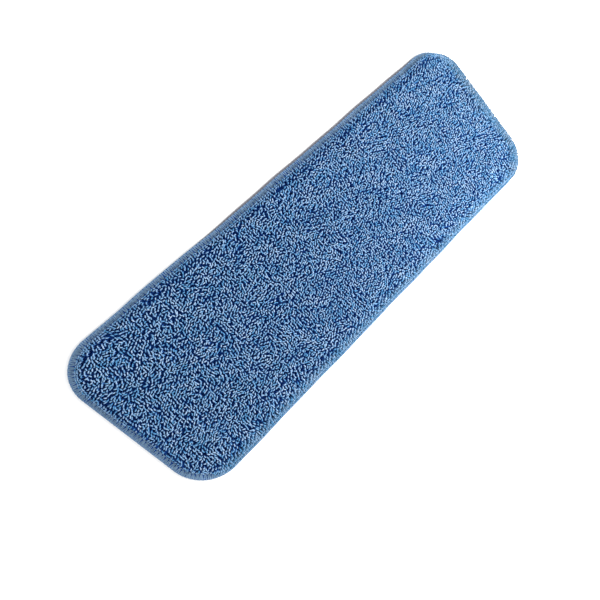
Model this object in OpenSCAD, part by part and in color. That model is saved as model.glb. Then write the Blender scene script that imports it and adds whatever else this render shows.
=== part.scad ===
/* [Pad outline] */
// Length over the sewn edge
pad_length = 400; // [260:5:600]
// Width over the sewn edge
pad_width = 140; // [90:5:240]
// Radius of the corners at the outer edge
corner_radius = 30; // [23:1:44]

/* [Layers] */
// Thickness of the brushed loop cloth that a hook-faced holder grips
back_thickness = 1; // [0.6:0.1:1.6]
// Thickness of the foam sheet away from the seam
foam_thickness = 3; // [2.5:0.25:6]
// Thickness of the knitted ground that the loops grow from
ground_thickness = 0.8; // [0.5:0.1:1.5]
// Height of the looped pile above its ground
pile_height = 5.5; // [4.5:0.5:9]

/* [Overlocked edge] */
// Width of the looper threads' cover, from the outer edge in to the needle line
seam_width = 5; // [3:0.5:8]
// Thickness of the foam where the stitches squeeze it
seam_foam_thickness = 1; // [0.5:0.1:1.8]
// Thickness of the skin of looper threads that wraps the edge
looper_thickness = 0.6; // [0.3:0.1:1]
// Thickness of the needle thread where it lies on a cloth
needle_thread_thickness = 0.5; // [0.4:0.1:0.8]
// Distance from one stitch to the next along the needle line
stitch_pitch = 3; // [3:0.5:8]
// Thickness of the needle thread's two strands, pulled tight, in a needle hole
stitch_leg_thickness = 0.4; // [0.2:0.05:0.4]
// Width of the holes that the needle leaves in the cloths and the foam
needle_hole_width = 0.6; // [0.5:0.05:0.8]

/* [Fullness beside the seam] */
// Distance in which the back cloth comes down to the flat
back_slope_width = 3; // [1:0.5:6]
// Distance in which the foam swells to its full thickness
swell_width = 7; // [4:0.5:12]

/* [Pile edge] */
// Room between the needle thread and the foot of the pile
pile_foot_gap = 0.4; // [0.3:0.1:1]
// How far the outermost loops stop short of the outer edge
pile_edge_inset = 3.5; // [1.5:0.5:4]
// Height above the stitches at which the loops reach furthest out
pile_lean_height = 1.8; // [1:0.1:3]
// Rounding of the pile's upper edge
pile_edge_radius = 3; // [1:0.25:3]

/* [Hidden] */
$fn = 96;

// Distances in from the outer edge
cloth_cut = looper_thickness;
needle_line = seam_width + needle_thread_thickness / 2;
pile_foot = seam_width + needle_thread_thickness + pile_foot_gap;
back_flat = pile_foot + back_slope_width;
full_depth = pile_foot + swell_width;
rim_end = max(back_flat, full_depth);

// Heights of the layers' faces inside the seam
stitch_thickness = max(looper_thickness, needle_thread_thickness);
seam_floor = stitch_thickness;
seam_back_top = seam_floor + back_thickness;
seam_foam_top = seam_back_top + seam_foam_thickness;
seam_ground_top = seam_foam_top + ground_thickness;
seam_middle = (seam_floor + seam_ground_top) / 2;
stitch_top = seam_ground_top + stitch_thickness;

// Heights of the layers' upper faces in the full part of the pad
back_top = back_thickness;
foam_top = back_top + foam_thickness;
ground_top = foam_top + ground_thickness;
pile_top = ground_top + pile_height;

// Centres of the corners, from which all the outlines are drawn
corner_x = pad_length / 2 - corner_radius;
corner_y = pad_width / 2 - corner_radius;

// Stitches along each straight run and round each corner of the needle line
long_stitches = round(2 * corner_x / stitch_pitch);
short_stitches = round(2 * corner_y / stitch_pitch);
corner_stitches = round(PI / 2 * (corner_radius - needle_line) / stitch_pitch);

// Flat plate with the pad's outline, drawn in from the outer edge by an inset
module plate(inset, low, high) {
    translate([0, 0, low])
        linear_extrude(high - low) {
            square([2 * corner_x, pad_width - 2 * inset], center = true);
            square([pad_length - 2 * inset, 2 * corner_y], center = true);
            for (x = [-corner_x, corner_x])
                for (y = [-corner_y, corner_y])
                    translate([x, y])
                        circle(corner_radius - inset);
        }
}

// One quarter turn of a section round a corner of the pad
module corner_turn() {
    rotate_extrude(angle = 90)
        mirror([1, 0])
            translate([-corner_radius, 0])
                children();
}

// Carries a section once round the pad. In the section, x is the distance in
// from the outer edge and y is the height.
module round_the_edge() {
    for (turn = [0, 180])
        rotate(turn) {
            translate([0, pad_width / 2, 0])
                rotate([90, 0, -90])
                    linear_extrude(2 * corner_x, center = true)
                        children();
            translate([pad_length / 2, 0, 0])
                rotate([90, 0, 180])
                    linear_extrude(2 * corner_y, center = true)
                        children();
            translate([corner_x, corner_y, 0])
                corner_turn()
                    children();
            translate([-corner_x, corner_y, 0])
                rotate(90)
                    corner_turn()
                        children();
        }
}

// Places its child at every stitch of the needle line
module at_each_stitch() {
    for (turn = [0, 180])
        rotate(turn) {
            for (i = [0.5 : long_stitches])
                translate([(2 * i / long_stitches - 1) * corner_x, pad_width / 2 - needle_line, 0])
                    children();
            for (i = [0.5 : short_stitches])
                translate([pad_length / 2 - needle_line, (2 * i / short_stitches - 1) * corner_y, 0])
                    children();
            for (side = [-1, 1])
                for (i = [0.5 : corner_stitches])
                    translate([corner_x, side * corner_y, 0])
                        rotate(side * 90 * i / corner_stitches)
                            translate([corner_radius - needle_line, 0, 0])
                                children();
        }
}

// Takes the needle holes out of a layer that the seam goes through
module needle_holes_in() {
    difference() {
        union()
            children();
        at_each_stitch()
            cylinder(d = needle_hole_width, h = stitch_top);
    }
}

// Brushed loop cloth, flat on the table and lifted at the seam by the thread below it
module back_cloth() {
    color("lightgray")
        needle_holes_in() {
            round_the_edge()
                polygon([
                    [cloth_cut, seam_floor],
                    [pile_foot, seam_floor],
                    [back_flat, 0],
                    [rim_end, 0],
                    [rim_end, back_top],
                    [back_flat, back_top],
                    [pile_foot, seam_back_top],
                    [cloth_cut, seam_back_top]
                ]);
            plate(rim_end, 0, back_top);
        }
}

// Foam sheet, squeezed thin inside the seam
module foam_core() {
    color("ivory")
        needle_holes_in() {
            round_the_edge()
                polygon([
                    [cloth_cut, seam_back_top],
                    [pile_foot, seam_back_top],
                    [back_flat, back_top],
                    [rim_end, back_top],
                    [rim_end, foam_top],
                    [full_depth, foam_top],
                    [pile_foot, seam_foam_top],
                    [cloth_cut, seam_foam_top]
                ]);
            plate(rim_end, back_top, foam_top);
        }
}

// Knitted ground of the face cloth, following the foam
module ground_cloth() {
    color("steelblue")
        needle_holes_in() {
            round_the_edge()
                polygon([
                    [cloth_cut, seam_foam_top],
                    [pile_foot, seam_foam_top],
                    [full_depth, foam_top],
                    [rim_end, foam_top],
                    [rim_end, ground_top],
                    [full_depth, ground_top],
                    [pile_foot, seam_ground_top],
                    [cloth_cut, seam_ground_top]
                ]);
            plate(rim_end, foam_top, ground_top);
        }
}

// Section of the pile's rim: a foot on the ground cloth, a side that leans out
// over the stitches and a rounded upper edge
module pile_rim_section() {
    round_x = pile_edge_inset + pile_edge_radius;
    round_y = pile_top - pile_edge_radius;
    polygon([
        [pile_foot, seam_ground_top],
        [full_depth, ground_top],
        [rim_end, ground_top],
        [rim_end, pile_top],
        [round_x, pile_top],
        [round_x, round_y],
        [pile_edge_inset, round_y],
        [pile_edge_inset, stitch_top + pile_lean_height],
        [pile_foot, stitch_top]
    ]);
    translate([round_x, round_y])
        circle(pile_edge_radius);
}

// Mass of yarn loops that wipes, as the space that the loops fill
module pile_loops() {
    color("cornflowerblue") {
        round_the_edge()
            pile_rim_section();
        plate(rim_end, ground_top, pile_top);
    }
}

// One of the needle thread's two lines round the pad, pressed on a cloth
module needle_thread_line(low) {
    round_the_edge()
        translate([seam_width, low])
            square(needle_thread_thickness);
}

// Needle thread: its line on the face, its line on the back and the stitches
// between them, which hold the layers together
module needle_thread() {
    color("royalblue") {
        needle_thread_line(seam_ground_top);
        needle_thread_line(seam_floor - needle_thread_thickness);
        at_each_stitch()
            translate([0, 0, seam_floor])
                cylinder(d = stitch_leg_thickness, h = seam_ground_top - seam_floor);
    }
}

// Half of the overlock, from the needle line round the cut edge to its middle,
// where the two looper threads lock
module looper_skin(cloth_face, outside) {
    round_the_edge()
        polygon([
            [0, seam_middle],
            [0, outside],
            [seam_width, outside],
            [seam_width, cloth_face],
            [cloth_cut, cloth_face],
            [cloth_cut, seam_middle]
        ]);
}

// Looper thread that covers the face side of the edge
module upper_looper_thread() {
    color("royalblue")
        looper_skin(seam_ground_top, seam_ground_top + looper_thickness);
}

// Looper thread that covers the back side of the edge
module lower_looper_thread() {
    color("royalblue")
        looper_skin(seam_floor, seam_floor - looper_thickness);
}

back_cloth();
foam_core();
ground_cloth();
pile_loops();
needle_thread();
upper_looper_thread();
lower_looper_thread();
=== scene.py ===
import math

import bmesh
import bpy
import numpy as np
from mathutils import Matrix, Vector


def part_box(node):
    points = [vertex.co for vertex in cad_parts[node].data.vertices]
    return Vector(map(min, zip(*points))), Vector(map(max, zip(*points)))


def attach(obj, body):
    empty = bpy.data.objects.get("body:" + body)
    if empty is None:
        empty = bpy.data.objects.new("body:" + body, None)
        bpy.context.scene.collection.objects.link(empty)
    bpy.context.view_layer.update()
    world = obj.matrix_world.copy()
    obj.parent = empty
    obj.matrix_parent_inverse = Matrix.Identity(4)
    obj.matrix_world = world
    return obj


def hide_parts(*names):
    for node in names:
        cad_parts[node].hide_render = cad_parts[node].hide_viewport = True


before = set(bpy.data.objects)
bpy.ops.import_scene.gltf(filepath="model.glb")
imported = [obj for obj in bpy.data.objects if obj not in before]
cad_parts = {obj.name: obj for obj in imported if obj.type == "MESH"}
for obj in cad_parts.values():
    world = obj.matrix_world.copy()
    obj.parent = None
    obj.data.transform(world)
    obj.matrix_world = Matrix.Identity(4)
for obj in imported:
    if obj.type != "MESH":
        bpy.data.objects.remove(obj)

mm = 0.001
fullTurn = 2 * math.pi
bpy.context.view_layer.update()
scene = bpy.context.scene

# ---- The pad's outline and layers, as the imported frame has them

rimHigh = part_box("lower_looper_thread")[1]
needleLow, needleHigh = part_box("needle_thread")
outline = {
    "halfLength": rimHigh.x,
    "halfWidth": rimHigh.y,
    "corner": 30 * mm,
    "needleIn": rimHigh.x - needleHigh.x,                  # needle line, in from the outer edge
    "cutIn": rimHigh.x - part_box("foam_core")[1].x,         # where the layers are cut
    "footIn": 5.9 * mm,                                    # foot of the pile
    "fullIn": 12.9 * mm,                                   # where the pad has its full thickness
}
level = {
    "seamFloor": needleLow.z + 0.5 * mm,                   # above the needle thread
    "seamMiddle": rimHigh.z,
    "seamBack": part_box("back_cloth")[1].z,
    "seamFoam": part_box("ground_cloth")[0].z,
    "seamGround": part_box("pile_loops")[0].z,
    "back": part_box("foam_core")[0].z,
    "foam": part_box("foam_core")[1].z,
    "ground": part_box("ground_cloth")[1].z,
}
cornerX = outline["halfLength"] - outline["corner"]
cornerY = outline["halfWidth"] - outline["corner"]
cornerArc = outline["corner"] * fullTurn / 4
rimLength = 4 * (cornerX + cornerY + cornerArc)


def smooth(x, start, end):
    t = np.clip((x - start) / (end - start), 0, 1)
    return t * t * (3 - 2 * t)


def rim(along, inset):
    # places at a distance along the outer edge and a distance in from it
    along = np.mod(np.asarray(along, float), rimLength)
    x, y = np.zeros(along.shape), np.zeros(along.shape)
    start = 0
    for quarter in range(4):
        turn = quarter * fullTurn / 4
        side = 2 * (cornerX if quarter % 2 else cornerY)
        centreX = cornerX if quarter in (0, 3) else -cornerX
        centreY = cornerY if quarter < 2 else -cornerY
        gone = along - start
        here = (gone >= 0) & (gone < side + cornerArc)
        angle = turn + np.maximum(gone - side, 0) / outline["corner"]
        left = np.maximum(side - gone, 0)                  # straight run still to go
        reach = outline["corner"] - inset
        x = np.where(here, centreX + np.cos(angle) * reach + math.sin(turn) * left, x)
        y = np.where(here, centreY + np.sin(angle) * reach - math.cos(turn) * left, y)
        start += side + cornerArc
    return x, y


def depthIn(x, y):
    # distance in from the outer edge, and the direction that leads out to it
    overX, overY = np.abs(x) - cornerX, np.abs(y) - cornerY
    outX, outY = np.maximum(overX, 0), np.maximum(overY, 0)
    beyond = np.hypot(outX, outY)
    depth = outline["corner"] - beyond - np.minimum(np.maximum(overX, overY), 0)
    safe = np.maximum(beyond, 1e-9)
    return depth, np.sign(x) * outX / safe, np.sign(y) * outY / safe


# ---- How the sewn pad lies: a little out of square, one long side drawn in by its seam

lie = {
    "skew": 0.034,
    "drawnIn": 1.8 * mm,
    "drawnFrom": (-110 * mm, -20 * mm),                    # along the pad, none to full
    "drawnTo": (150 * mm, 195 * mm),                       # and full to none
    "drawnSide": 60 * mm,
    "letOut": 1.2 * mm,                                    # the other long side lies a little wider
    "letOutSide": (45 * mm, 66 * mm),
    "wave": 0.2 * mm,                                      # unevenness of the outline
    "waveReach": 30 * mm,
}


def drawnStretch(x, y):
    # the stretch of the +Y side where the seam pulls in and the back cloth shows past it
    start, end = lie["drawnFrom"], lie["drawnTo"]
    return smooth(x, *start) * smooth(-x, -end[1], -end[0]) * smooth(y, 0, lie["drawnSide"])


def laidOut(places):
    x, y, z = places.T.copy()
    depth = depthIn(x, y)[0]
    nearEdge = 1 - smooth(depth, 0, lie["waveReach"])
    wobble = lie["wave"] * nearEdge * (np.sin(x * 61 + 1.3) + 0.6 * np.sin(x * 143 + y * 90))
    drawn = lie["drawnIn"] * drawnStretch(x, y) + lie["letOut"] * smooth(-y, *lie["letOutSide"])
    return np.stack([x - lie["skew"] * y, y + wobble - drawn, z], axis=1)


def finishPiece(obj, slotName, *nodes):
    # lays a finished piece out with the rest of the pad and hands it over to the frame
    places = np.empty(len(obj.data.vertices) * 3)
    obj.data.vertices.foreach_get("co", places)
    obj.data.vertices.foreach_set("co", laidOut(places.reshape(-1, 3)).ravel())
    obj.data.update()
    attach(obj, "root")
    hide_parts(*nodes)


def newPiece(name, mesh, material):
    obj = bpy.data.objects.new(name, mesh)
    scene.collection.objects.link(obj)
    mesh.materials.clear()
    mesh.materials.append(material)
    mesh.polygons.foreach_set("use_smooth", [True] * len(mesh.polygons))
    return obj


# ---- Materials

class Shade:
    # a socket of a node tree, so that sums on values add their Math nodes
    def __init__(self, tree, socket=None):
        self.tree = tree
        self.socket = socket

    def node(self, kind, settings=None, sockets=None, output=0):
        made = self.tree.nodes.new("ShaderNode" + kind)
        for key, value in (settings or {}).items():
            if key == "stops":
                for _ in value[2:]:
                    made.color_ramp.elements.new(0.5)
                for element, (place, colour) in zip(made.color_ramp.elements, value):
                    element.position = place
                    element.color = (*colour, 1)
            else:
                setattr(made, key, value)
        for key, value in (sockets or {}).items():
            if isinstance(value, Shade):
                self.tree.links.new(value.socket, made.inputs[key])
            else:
                made.inputs[key].default_value = value
        return Shade(self.tree, made.outputs[output])

    def out(self, index):
        return Shade(self.tree, self.socket.node.outputs[index])

    def sum(self, operation, *values):
        return self.node("Math", {"operation": operation}, dict(enumerate(values)))

    def __add__(self, other):
        return self.sum("ADD", self, other)

    def __rsub__(self, other):
        return self.sum("SUBTRACT", other, self)

    def __mul__(self, other):
        return self.sum("MULTIPLY", self, other)

    def __pow__(self, other):
        return self.sum("POWER", self, other)

    __radd__ = __add__


def blendColour(t, share, first, second):
    return t.node("Mix", {"data_type": "RGBA"}, {0: share, 6: first, 7: second}, output=2)


def scaleColour(t, colour, amount):
    return t.node("VectorMath", {"operation": "SCALE"}, {0: colour, "Scale": amount})


def cloth(name, build, sheen=0.12):
    # a fabric: build gives its colour and the height of its relief
    material = bpy.data.materials.new(name)
    material.use_nodes = True
    tree = material.node_tree
    shader = tree.nodes["Principled BSDF"]
    t = Shade(tree)
    colour, relief, distance = build(t)
    bump = t.node("Bump", {}, {"Strength": 1.0, "Distance": distance, "Height": relief})
    tree.links.new(colour.socket, shader.inputs["Base Color"])
    tree.links.new(bump.socket, shader.inputs["Normal"])
    shader.inputs["Roughness"].default_value = 0.9
    shader.inputs["Specular IOR Level"].default_value = 0.2
    shader.inputs["Sheen Weight"].default_value = sheen
    shader.inputs["Sheen Tint"].default_value = (0.6, 0.75, 1, 1)
    shader.inputs["Sheen Roughness"].default_value = 0.5
    return material


# painted light on the pile yarn: the two head colours are a painted highlight and differ by each loop's
# own tone; the leg ramp is painted shade, darker down to the root
yarnLitAndShadedColours = {
    "tip": (0.072, 0.230, 0.428, 1),
    "paleLitTip": (0.318, 0.445, 0.612, 1),
    "leg": [(0.0, (0.0, 0.065, 0.385)), (0.6, (0.0, 0.071, 0.360)), (0.86, (0.005, 0.121, 0.385)),
            (1.0, (0.048, 0.212, 0.430))],
}


def pileYarn(t):
    place = t.node("TexCoord", output=3)
    split = t.node("SeparateXYZ", {}, {0: t.node("UVMap", {"uv_map": "yarn"})})
    along, around = split.out(0), split.out(1)
    tint = t.node("Attribute", {"attribute_name": "tint"}, output=2)
    rise = t.node("Attribute", {"attribute_name": "rise"}, output=2)
    shade = t.node("Attribute", {"attribute_name": "shade"}, output=2)
    ply = t.sum("SINE", (around * 3 + along * 9) * fullTurn)
    fibre = t.node("TexNoise", {}, {"Vector": place, "Scale": 5200.0, "Detail": 2.0})
    relief = ply * 0.5 + fibre * 0.8
    # the rise attribute paints shade down the legs and a highlight near the top of the head
    tip = blendColour(t, tint, yarnLitAndShadedColours["tip"], yarnLitAndShadedColours["paleLitTip"])
    leg = t.node("ValToRGB", {"stops": yarnLitAndShadedColours["leg"]}, {0: rise})
    colour = blendColour(t, rise ** 8, leg, tip)
    # the ply term paints slight shade into the grooves between the plies
    return scaleColour(t, colour, shade * (0.94 + ply * 0.06)), relief, 0.12 * mm


# painted light and shade: a lit and a darker copy of the thread colour, mixed in noise patches
threadColours = {"lit": (0.240, 0.370, 0.510, 1), "shadePatch": (0.062, 0.132, 0.232, 1)}


def sewingThread(t):
    place = t.node("TexCoord", output=3)
    fibre = t.node("TexNoise", {}, {"Vector": place, "Scale": 4200.0, "Detail": 3.0})
    patch = t.node("TexNoise", {}, {"Vector": place, "Scale": 420.0, "Detail": 2.0})
    # painted light and shade in patches over the thread
    colour = blendColour(t, patch, threadColours["shadePatch"], threadColours["lit"])
    return scaleColour(t, colour, 0.75 + fibre * 0.5), fibre, 0.15 * mm


# painted shade: the ground knit is painted about as dark as the pile's roots, for the shade under the
# pile, and darker in the low places between stitches
groundColours = {"thread": (0.0, 0.075, 0.360, 1), "gap": (0.0, 0.042, 0.240, 1)}


def groundKnit(t):
    place = t.node("TexCoord", output=3)
    split = t.node("SeparateXYZ", {}, {0: place})
    wale = t.sum("SINE", split.out(1) * (fullTurn / (1.2 * mm))) * 0.5 + 0.5
    course = t.sum("SINE", split * (fullTurn / (1.0 * mm)) + wale * 2.2) * 0.5 + 0.5
    stitch = wale * course
    # painted shade in the low places between stitches
    return blendColour(t, stitch, groundColours["gap"], groundColours["thread"]), stitch, 0.25 * mm


# painted shade: the pores are painted darker than the cell walls, as the hollows lie in shade
foamColours = {"wall": (0.800, 0.770, 0.680, 1), "pore": (0.420, 0.390, 0.320, 1)}


def foamCells(t):
    place = t.node("TexCoord", output=3)
    cell = t.node("TexVoronoi", {"feature": "DISTANCE_TO_EDGE"}, {"Vector": place, "Scale": 1400.0})
    wall = 1 - t.sum("SMOOTH_MIN", cell * 6, 1.0, 0.2)
    # painted shade in the pores
    return blendColour(t, wall, foamColours["pore"], foamColours["wall"]), wall, 0.2 * mm


# painted shade: the gaps between the tufts are painted darker than the nap, as they lie in shade
backColours = {"nap": (0.190, 0.182, 0.205, 1), "gap": (0.095, 0.092, 0.108, 1)}


def brushedLoops(t):
    place = t.node("TexCoord", output=3)
    nap = t.node("TexNoise", {}, {"Vector": place, "Scale": 1500.0, "Detail": 4.0, "Roughness": 0.7})
    tuft = t.node("TexVoronoi", {}, {"Vector": place, "Scale": 850.0})
    relief = nap + (1 - tuft) * 0.6
    share = t.sum("SMOOTH_MIN", relief * 0.7, 1.0, 0.1)
    # painted shade in the gaps between tufts
    return blendColour(t, share, backColours["gap"], backColours["nap"]), relief, 0.3 * mm


# ---- Layers: ground cloth, foam and back cloth

layers = {
    "outlineStep": 2.5 * mm,
    "crease": 1.2,                                         # least angle at an edge that is rounded
    "backSlope": 3 * mm,
    "backPast": 2.0 * mm,                                  # back cloth past the drawn-in seam
    "ground": {"cut": 0.15 * mm, "rounding": 0.25 * mm},   # cut: in from the layers' common cut
    "foam": {"cut": 0.05 * mm, "rounding": 0.2 * mm},
    "back": {"cut": -0.05 * mm, "rounding": 0.3 * mm},
}


def layerMesh(name, layer, low, high, topSteps, bottomSteps, past=0):
    # a plate with the pad's outline; each step goes in from the edge and up or down
    bm = bmesh.new()
    spacing = np.arange(0, rimLength, layers["outlineStep"])
    cutIn = outline["cutIn"] + layer["cut"]
    x, y = rim(spacing, cutIn - past * drawnStretch(*rim(spacing, 0)))
    corners = [bm.verts.new((px, py, low)) for px, py in zip(x, y)]
    under = bm.faces.new(corners[::-1])
    upper = bmesh.ops.extrude_face_region(bm, geom=[under])
    raised = [v for v in upper["geom"] if isinstance(v, bmesh.types.BMVert)]
    over = [f for f in upper["geom"] if isinstance(f, bmesh.types.BMFace)]
    bmesh.ops.translate(bm, vec=(0, 0, high - low), verts=raised)
    bmesh.ops.recalc_face_normals(bm, faces=bm.faces)
    for faces, steps, sign in ((over, topSteps, 1), ([under], bottomSteps, -1)):
        for inward, rise in steps:
            bmesh.ops.inset_region(bm, faces=faces, thickness=inward, depth=rise * sign,
                                   use_even_offset=True, use_boundary=True)
    edge = [e for e in bm.edges if e.is_manifold and e.calc_face_angle(0) > layers["crease"]]
    bmesh.ops.bevel(bm, geom=edge, offset=layer["rounding"], segments=3, profile=0.5,
                    affect="EDGES", material=-1)
    mesh = bpy.data.meshes.new(name)
    bm.to_mesh(mesh)
    bm.free()
    return mesh


print("layers")
slopeIn = outline["fullIn"] - outline["footIn"]
flatIn = outline["footIn"] - outline["cutIn"]
foamRise = [(flatIn, 0), (slopeIn, level["foam"] - level["seamFoam"])]
backRise = [(flatIn, 0), (layers["backSlope"], level["back"] - level["seamBack"])]
groundCloth = newPiece("groundCloth", layerMesh(
    "groundCloth", layers["ground"], level["seamFoam"], level["seamGround"],
    [(flatIn, 0), (slopeIn, level["ground"] - level["seamGround"])], foamRise),
    cloth("groundKnit", groundKnit))
foamCore = newPiece("foamCore", layerMesh(
    "foamCore", layers["foam"], level["seamBack"], level["seamFoam"], foamRise, backRise),
    cloth("foamCells", foamCells, sheen=0.0))
backCloth = newPiece("backCloth", layerMesh(
    "backCloth", layers["back"], level["seamFloor"], level["seamBack"], backRise,
    [(flatIn, 0), (layers["backSlope"], -level["seamFloor"])], past=layers["backPast"]),
    cloth("brushedLoops", brushedLoops))

# ---- Looped pile

loops = {
    "spacing": 2.08 * mm,
    "scatter": 0.10,                                       # of the spacing
    "rimRows": (6.1 * mm, 7.6 * mm),                       # rows that follow the seam
    "rimStep": 0.4,                                        # of the spacing, as the next two are
    "rimScatter": (0.12, 0.06),                            # along the row and across it
    "rimClear": 0.45,                                      # from the last row to the grid
    "moreFrom": 8.6 * mm,                                  # depth at which the extra loops begin
    "moreFade": (9 * mm, 15 * mm),
    "groove": (5.2 * mm, 2.1 * mm),                        # least depth of a loop, and more at one end
    "yarn": 0.43 * mm,                                     # radius of the yarn
    "head": 0.76 * mm,                                     # radius of the loop's head
    "tall": 5.9 * mm,
    "sunk": 0.3 * mm,                                      # foot of a loop, in the ground cloth
    "lean": (8, 26),                                       # degrees
    "pinch": 0.62,                                         # legs draw together at the foot
    "sides": 6,
    "headSteps": 4,
    "legSteps": 2,
    "strips": 8,
    "nap": (0.85, -0.53),                                  # the way the pile has been stroked
    "plane": 38,                                           # heading of the loops' planes
    "seed": 7,
}
rimLoops = {
    "reach": (5 * mm, 13 * mm),                            # depths from the full effect to none
    "strokedReach": 3 * mm,                                # more where the pile is stroked outward
    "outward": 1.8,                                        # weight of leaning out, the nap's being 1
    "sway": 0.10,                                          # sideways, along the seam
    "lean": {"plain": 42, "stroked": 48, "grooved": -50, "least": -14, "most": 80, "scatter": 2},
    "spread": 0.8,                                         # lying loops spread along the seam
    "tall": 0.55,
    "tallFrom": 0.4,
    "tallRange": (-0.2, 0.45),
    "steadier": 0.8,                                       # less scatter in height
    "narrower": 0.12,
    # painted shade at the rim: the legs' dark colour reaches further up
    "rimLegShade": 0.04,                                        # the legs' colour reaches further up
    # painted shade at the rim: heads painted less pale where the pile is crowded
    "rimTintShade": 0.2,
    "shade": {"plain": 0.20, "far": 0.45, "near": 0.42, "nearLess": 0.32},  # light lost
}


def loopPattern():
    # one upright loop: a yarn section pulled up a leg, spun over the head and down again,
    # with the place of each corner along and around the yarn
    bm = bmesh.new()
    section = bmesh.ops.create_circle(bm, segments=loops["sides"], radius=loops["yarn"], cap_ends=True)
    bmesh.ops.translate(bm, vec=(loops["head"], 0, 0), verts=section["verts"])
    legStep = (loops["tall"] - loops["head"]) / loops["legSteps"]

    def pull(faces, vec):
        drawn = bmesh.ops.extrude_face_region(bm, geom=faces)
        moved = [v for v in drawn["geom"] if isinstance(v, bmesh.types.BMVert)]
        bmesh.ops.translate(bm, vec=vec, verts=moved)
        bmesh.ops.delete(bm, geom=faces, context="FACES_ONLY")
        return [f for f in drawn["geom"] if isinstance(f, bmesh.types.BMFace)]

    end = list(bm.faces)
    for _ in range(loops["legSteps"]):
        end = pull(end, (0, 0, legStep))
    head = bmesh.ops.spin(bm, geom=end, cent=(0, 0, loops["tall"] - loops["head"]),
                          axis=(0, -1, 0), angle=math.pi, steps=loops["headSteps"])
    bmesh.ops.delete(bm, geom=end, context="FACES_ONLY")
    end = [f for f in head["geom_last"] if isinstance(f, bmesh.types.BMFace)]
    for _ in range(loops["legSteps"]):
        end = pull(end, (0, 0, -legStep))
    bmesh.ops.remove_doubles(bm, verts=bm.verts, dist=0.01 * mm)
    bmesh.ops.holes_fill(bm, edges=bm.edges, sides=0)
    bmesh.ops.recalc_face_normals(bm, faces=bm.faces)
    shape = np.array([v.co for v in bm.verts])
    faces = [[v.index for v in f.verts] for f in bm.faces]
    bm.free()
    across, thick, up = shape.T
    bend = loops["tall"] - loops["head"]                   # where the head begins
    inLeg = up <= bend
    over = np.arctan2(np.maximum(up - bend, 0), across)    # angle over the head
    over = np.where(inLeg, np.where(across > 0, 0, math.pi), over)
    away = np.where(inLeg, np.abs(across), np.hypot(across, up - bend))
    leg = np.minimum(up, bend)
    half = bend + loops["head"] * math.pi / 2
    along = np.where(over < math.pi / 2, leg + over * loops["head"],
                     2 * half - leg - (math.pi - over) * loops["head"]) / (2 * half)
    around = np.arctan2(thick, away - loops["head"]) / fullTurn
    turns = []                                             # corners of a face on one side of the seam
    for face in faces:
        near = around[face] - around[face[0]]
        turns.append(around[face] - np.round(near))
    lowest = min(t.min() for t in turns)
    cell = [np.column_stack([along[f], (t - lowest) / 1.25]) for f, t in zip(faces, turns)]
    return shape, faces, np.concatenate(cell)


def wander(x, y, coarse, fine, rng):
    # a smooth field that wanders between about -1 and 1 over the pad
    total = np.zeros(x.shape)
    for _ in range(14):
        heading, size = rng.uniform(0, fullTurn), rng.uniform(fine, coarse)
        along = x * math.cos(heading) + y * math.sin(heading)
        total += np.sin(fullTurn * along / size + rng.uniform(0, fullTurn))
    return total / 3.2


def outwardNap(outX, outY):
    # how far the way out to the edge runs with the nap, from -1 to 1
    return outX * loops["nap"][0] + outY * loops["nap"][1]


def rootPlaces(rng):
    # a scattered grid, rows that follow the seam, and more loops where the pile fans out
    step = loops["spacing"]
    columns = np.arange(-outline["halfLength"], outline["halfLength"], step)
    rows = np.arange(-outline["halfWidth"], outline["halfWidth"], step)
    gridX, gridY = np.meshgrid(columns, rows, indexing="ij")
    gridY = gridY + (np.arange(len(columns)) % 2)[:, None] * step / 2
    x = (gridX + rng.normal(0, loops["scatter"], gridX.shape) * step).ravel()
    y = (gridY + rng.normal(0, loops["scatter"], gridY.shape) * step).ravel()
    inner = depthIn(x, y)[0] > loops["rimRows"][-1] + loops["rimClear"] * step
    x, y = x[inner], y[inner]
    for inset in loops["rimRows"]:
        row = np.arange(0, rimLength, loops["rimStep"] * step)
        alongScatter, acrossScatter = loops["rimScatter"]
        rowX, rowY = rim(row + rng.normal(0, alongScatter, len(row)) * step,
                         inset + rng.normal(0, acrossScatter, len(row)) * step)
        _, outX, outY = depthIn(rowX, rowY)
        twoInFive = np.arange(len(row)) * 2 % 5 < 2
        stands = (outwardNap(outX, outY) > 0) | twoInFive  # all where the pile hangs over the seam
        x, y = np.append(x, rowX[stands]), np.append(y, rowY[stands])
    moreX, moreY = gridX.ravel() + step / 2, gridY.ravel() + step / 4
    depth, outX, outY = depthIn(moreX, moreY)
    fanned = np.clip(1.6 * outwardNap(outX, outY), 0, 1) * (1 - smooth(depth, *loops["moreFade"]))
    added = (depth > loops["moreFrom"]) & (rng.random(len(moreX)) < fanned)
    return np.append(x, moreX[added]), np.append(y, moreY[added])


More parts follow.
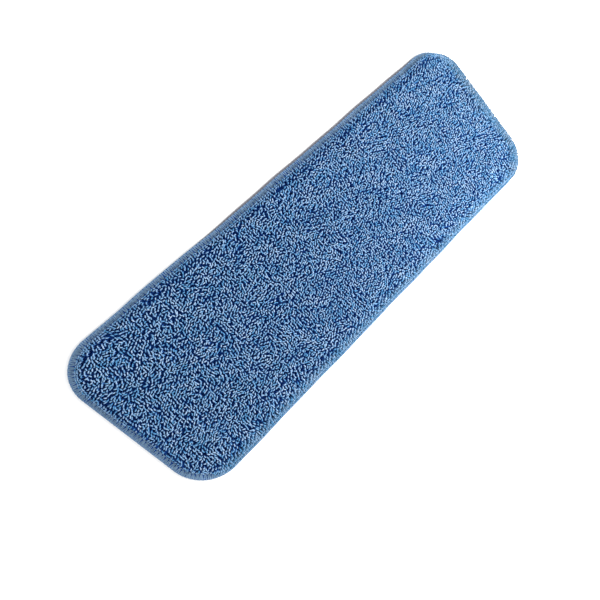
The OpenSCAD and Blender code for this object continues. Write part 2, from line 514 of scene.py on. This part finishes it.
def plantLoops(shape):
    rng = np.random.default_rng(loops["seed"])
    x, y = rootPlaces(rng)
    depth, outX, outY = depthIn(x, y)
    grooved = smooth(-outX, 0.3, 0.75) * smooth(-y, -25 * mm, 15 * mm)
    clear, clearMore = loops["groove"]
    kept = depth > clear + clearMore * grooved
    order = np.argsort(y[kept], kind="stable")             # lengthwise strips
    x, y, depth, outX, outY, grooved = (v[kept][order] for v in (x, y, depth, outX, outY, grooved))
    count = len(x)
    foot = level["seamGround"] + (level["ground"] - level["seamGround"]) * np.clip(
        (depth - outline["footIn"]) / slopeIn, 0, 1) - loops["sunk"]

    stroked = outwardNap(outX, outY)
    start, end = rimLoops["reach"]
    edge = 1 - smooth(depth, start, end + rimLoops["strokedReach"] * np.clip(stroked, 0, 1))
    plane = (math.radians(loops["plane"]) + 0.6 * wander(x, y, 60 * mm, 12 * mm, rng)
             + rng.normal(0, 0.4, count))
    twist = rng.normal(0, 0.5, count)
    heading = (math.atan2(loops["nap"][1], loops["nap"][0]) + 1.2 * wander(x, y, 60 * mm, 14 * mm, rng)
               + rng.normal(0, 0.6, count))
    sway = rng.normal(0, rimLoops["sway"], count)
    leanX = np.cos(heading) * (1 - edge) + (outX - outY * sway) * edge * rimLoops["outward"]
    leanY = np.sin(heading) * (1 - edge) + (outY + outX * sway) * edge * rimLoops["outward"]
    norm = np.hypot(leanX, leanY)
    leanX, leanY = leanX / norm, leanY / norm
    tilt = rimLoops["lean"]
    inside = rng.uniform(*loops["lean"], count) * (1 - edge)
    atRim = np.clip(tilt["plain"] + tilt["stroked"] * stroked + tilt["grooved"] * grooved,
                    tilt["least"], tilt["most"])
    lean = np.radians(inside + (atRim + rng.normal(0, tilt["scatter"], count)) * edge)
    lean = np.where(np.abs(lean) < 0.03, 0.03, lean)       # a loop is bent on a finite radius
    flat = np.arctan2(leanY, leanX) + fullTurn / 4
    plane = plane + (flat - plane) * rimLoops["spread"] * edge * np.clip(stroked, 0, 1)
    tall = (1 + rng.normal(0, 0.05, count) * (1 - rimLoops["steadier"] * edge)
            + rimLoops["tall"] * edge * np.clip(stroked - rimLoops["tallFrom"], *rimLoops["tallRange"]))
    wide = rng.normal(1, 0.12, count) * (1 - rimLoops["narrower"] * edge)
    tint = np.clip(0.42 + 0.08 * wander(x, y, 40 * mm, 8 * mm, rng) + rng.normal(0, 0.26, count), 0, 1)

    across, thick, up = shape.T
    share = np.clip(up / loops["tall"], 0, 1)
    pinch = loops["pinch"] + (1 - loops["pinch"]) * smooth(share, 0.0, 0.65)
    angle = plane[:, None] + twist[:, None] * share
    a = across * pinch * wide[:, None]
    localX = np.cos(angle) * a - np.sin(angle) * thick
    localY = np.sin(angle) * a + np.cos(angle) * thick
    length = up * tall[:, None]
    bow = lean[:, None]
    turned = bow * length / (loops["tall"] * tall[:, None])
    radius = loops["tall"] * tall[:, None] / bow
    along = localX * leanX[:, None] + localY * leanY[:, None]
    side = -localX * leanY[:, None] + localY * leanX[:, None]
    forward = radius * (1 - np.cos(turned)) + along * np.cos(turned)
    height = radius * np.sin(turned) - along * np.sin(turned)
    places = np.stack([
        x[:, None] + forward * leanX[:, None] - side * leanY[:, None],
        y[:, None] + forward * leanY[:, None] + side * leanX[:, None],
        foot[:, None] + height], axis=2)

    lying = 0.88 * smooth(lean, math.radians(22), math.radians(60))
    rise = share + (1 - share) * lying[:, None]            # lying loops show their legs to the light
    crowded = np.clip(stroked * 1.6, 0, 1)
    # painted shade at the rim: the legs' dark colour reaches higher where the pile isn't crowded
    rise = rise * (1 - rimLoops["rimLegShade"] * edge * (1 - crowded))[:, None]
    # painted shade at the rim: the heads are painted less pale where the pile is crowded
    tint = tint * (1 - rimLoops["rimTintShade"] * edge * crowded)
    dark = rimLoops["shade"]
    farEnd = smooth(stroked, 0.55, 0.85)                   # where the nap runs straight out
    shade = 1 - edge * (dark["plain"] * (1 - crowded) + (
        dark["far"] * farEnd + (dark["near"] - dark["nearLess"] * farEnd) * edge ** 2) * crowded)
    return places, rise, *(np.repeat(v[:, None], len(share), 1) for v in (tint, shade))


print("pile")
shape, faces, yarnPlace = loopPattern()
places, rise, tint, shade = plantLoops(shape)
pileMaterial = cloth("pileYarn", pileYarn, sheen=0.06)
perStrip = math.ceil(len(places) / loops["strips"])
cells = math.ceil(math.sqrt(perStrip))                     # cells of the bake map, a loop in each
oneLoop = np.concatenate(faces)
pileStrips = []
for strip in range(loops["strips"]):
    part = slice(strip * perStrip, (strip + 1) * perStrip)
    number = len(places[part])
    corners = (oneLoop + len(shape) * np.arange(number)[:, None]).ravel()
    lengths = np.tile([len(f) for f in faces], number)
    mesh = bpy.data.meshes.new(f"pileLoops{strip + 1}")
    mesh.vertices.add(number * len(shape))
    mesh.vertices.foreach_set("co", places[part].ravel())
    mesh.loops.add(len(corners))
    mesh.loops.foreach_set("vertex_index", corners)
    mesh.polygons.add(len(lengths))
    mesh.polygons.foreach_set("loop_start", np.concatenate([[0], np.cumsum(lengths)[:-1]]))
    mesh.update(calc_edges=True)
    for name, values in (("rise", rise[part]), ("tint", tint[part]), ("shade", shade[part])):
        mesh.attributes.new(name, "FLOAT", "POINT").data.foreach_set("value", values.ravel())
    index = np.arange(number)
    cell = np.stack([index % cells, index // cells], axis=1)[:, None] + 0.06 + yarnPlace * 0.88
    for name, values in (("OFBake", cell / cells), ("yarn", np.tile(yarnPlace, (number, 1)))):
        mesh.uv_layers.new(name=name).data.foreach_set("uv", values.ravel())
    pileStrips.append(newPiece(f"pileLoops{strip + 1}", mesh, pileMaterial))
    print("  strip", strip + 1, number, "loops", number * len(faces), "faces")

# ---- Overlock stitches

seam = {
    "pitch": 3 * mm,
    "looper": 0.29 * mm,                                   # radius of a looper thread's ply
    "ply": 0.32 * mm,                                      # plies to each side of the strand
    "straighten": 0.55,                                    # how far strands run straight over the edge
    "scatter": 0.12 * mm,
    "depthScatter": 0.22 * mm,                             # of the turns at the needle line
    "edgeClear": 0.3 * mm,                                 # centre of a ply, out from the cut
    "needle": 0.30 * mm,
    "needleClear": 0.2 * mm,                               # centre, in from the needle line's outer side
    "needleScatter": 0.08 * mm,
    "arch": 0.7 * mm,                                      # between stitches, on the pile side
    "pointsPerStitch": 14,
    "seed": 11,
}
stitchCount = round(rimLength / seam["pitch"])


def threadMesh(name, routes, radius):
    curve = bpy.data.curves.new(name, "CURVE")
    curve.dimensions = "3D"
    curve.bevel_depth = radius
    curve.bevel_resolution = 1
    for route in routes:
        spline = curve.splines.new("POLY")
        spline.points.add(len(route) - 1)
        spline.points.foreach_set("co", np.column_stack([route, np.ones(len(route))]).ravel())
        spline.use_cyclic_u = True
    holder = bpy.data.objects.new(name, curve)
    scene.collection.objects.link(holder)
    graph = bpy.context.evaluated_depsgraph_get()
    mesh = bpy.data.meshes.new_from_object(holder.evaluated_get(graph))
    bpy.data.objects.remove(holder)
    mesh.name = name
    return mesh


def stitchPhase():
    steps = stitchCount * seam["pointsPerStitch"]
    return np.arange(steps) / seam["pointsPerStitch"]


def jitter(rng, size):
    # one value for each stitch, carried smoothly from stitch to stitch
    values = rng.normal(0, size, stitchCount)
    phase = stitchPhase()
    first = np.floor(phase).astype(int)
    share = smooth(phase - first, 0, 1)
    return values[first % stitchCount] * (1 - share) + values[(first + 1) % stitchCount] * share


def looperRoute(side, rng, ply):
    # a serpentine from the needle line over the cut edge to its middle and back
    phase = stitchPhase()
    shift = seam["straighten"] / (2 * fullTurn) * np.sin(2 * fullTurn * phase)
    along = (phase + shift) * rimLength / stitchCount
    along = along + jitter(rng, seam["scatter"]) + ply - side * seam["pitch"] / 4
    half = (level["seamGround"] - level["seamFloor"]) / 2 + seam["looper"]
    flat = outline["needleIn"] + jitter(rng, seam["depthScatter"]) - outline["cutIn"] - half
    wrap = (flat + half * fullTurn / 4) * (0.5 - 0.5 * np.cos(fullTurn * phase))
    angle = np.clip((wrap - flat) / half, 0, None)
    inset = np.where(wrap < flat, flat - wrap, -np.sin(angle) * half)
    inset = inset + outline["cutIn"] + half - seam["edgeClear"]
    rise = np.where(wrap < flat, half, np.cos(angle) * half)
    x, y = rim(along, inset)
    return np.stack([x, y, level["seamMiddle"] + side * rise], axis=1)


def needleRoute(side, rng):
    phase = stitchPhase()
    arch = (0.5 + 0.5 * np.cos(fullTurn * (phase + 0.5))) * (seam["arch"] if side > 0 else 0)
    height = (level["seamGround"] if side > 0 else level["seamFloor"]) + side * (
        seam["needle"] * 0.6 + arch)
    inset = outline["needleIn"] + seam["needleClear"] + jitter(rng, seam["needleScatter"])
    x, y = rim(phase * rimLength / stitchCount, inset)
    return np.stack([x, y, height], axis=1)


print("stitches")
rng = np.random.default_rng(seam["seed"])
threadMaterial = cloth("sewingThread", sewingThread)
upperLooper = newPiece("upperLooperThread", threadMesh(
    "upperLooperThread", [looperRoute(1, rng, seam["ply"] * k) for k in (-1, 1)], seam["looper"]),
    threadMaterial)
lowerLooper = newPiece("lowerLooperThread", threadMesh(
    "lowerLooperThread", [looperRoute(-1, rng, seam["ply"] * k) for k in (-1, 1)], seam["looper"]),
    threadMaterial)
needleThread = newPiece("needleThread", threadMesh(
    "needleThread", [needleRoute(1, rng), needleRoute(-1, rng)], seam["needle"]), threadMaterial)
print("  stitches round the pad", stitchCount)

# ---- Into the frame

print("frame")
finishPiece(backCloth, "brushed_loop_cloth", "back_cloth")
finishPiece(foamCore, "foam", "foam_core")
finishPiece(groundCloth, "ground_knit", "ground_cloth")
for strip in pileStrips:
    finishPiece(strip, "pile_yarn", "pile_loops")
finishPiece(needleThread, "needle_yarn", "needle_thread")
finishPiece(upperLooper, "looper_yarn", "upper_looper_thread")
finishPiece(lowerLooper, "looper_yarn", "lower_looper_thread")

# ---- Floor, light and camera

studio = {
    "floor": (0.90, 0.90, 0.90, 1),
    "floorSize": 6.0,
    "clearance": 0.1 * mm,                                 # between the floor and the pad's nap
    "sky": 1.24,
    "key": {"place": (0.20, -0.18, 0.29), "size": 0.25, "power": 3.3},
}
camera = {
    "place": (-0.0854, 0.0313, 0.3168),
    "aim": (-0.0161, -0.0419, 0.005),
    "topHeading": math.radians(46.4),                      # way over the floor that points up the view
    "lens": 24.0,
    "shift": -0.083,
}

bm = bmesh.new()
bmesh.ops.create_grid(bm, x_segments=1, y_segments=1, size=studio["floorSize"] / 2)
floorMesh = bpy.data.meshes.new("floor")
bm.to_mesh(floorMesh)
bm.free()
floorPaint = bpy.data.materials.new("floorPaint")
floorPaint.use_nodes = True
floorPaint.node_tree.nodes["Principled BSDF"].inputs["Base Color"].default_value = studio["floor"]
floorPaint.node_tree.nodes["Principled BSDF"].inputs["Roughness"].default_value = 0.9
floorMesh.transform(Matrix.Translation((0, 0, -studio["clearance"])))
floor = newPiece("floor", floorMesh, floorPaint)

world = bpy.data.worlds.new("studio")
world.use_nodes = True
world.node_tree.nodes["Background"].inputs["Color"].default_value = (1, 1, 1, 1)
world.node_tree.nodes["Background"].inputs["Strength"].default_value = studio["sky"]
scene.world = world
key = studio["key"]
light = bpy.data.lights.new("key", "AREA")
light.shape = "DISK"
light.size = key["size"]
light.energy = key["power"]
lamp = bpy.data.objects.new("key", light)
lamp.location = key["place"]
lamp.rotation_euler = (-Vector(key["place"])).to_track_quat("-Z", "Y").to_euler()
scene.collection.objects.link(lamp)

back = (Vector(camera["place"]) - Vector(camera["aim"])).normalized()
viewTop = Vector((math.cos(camera["topHeading"]), math.sin(camera["topHeading"]), 0))
right = viewTop.cross(back).normalized()
lens = bpy.data.cameras.new("camera")
lens.sensor_width = 36.0
lens.lens = camera["lens"]
lens.shift_x = camera["shift"]
lens.clip_start = 0.01
eye = bpy.data.objects.new("camera", lens)
axes = Matrix((right, back.cross(right), back)).transposed()
eye.matrix_world = Matrix.Translation(camera["place"]) @ axes.to_4x4()
scene.collection.objects.link(eye)
scene.camera = eye
scene.view_settings.view_transform = "Standard"
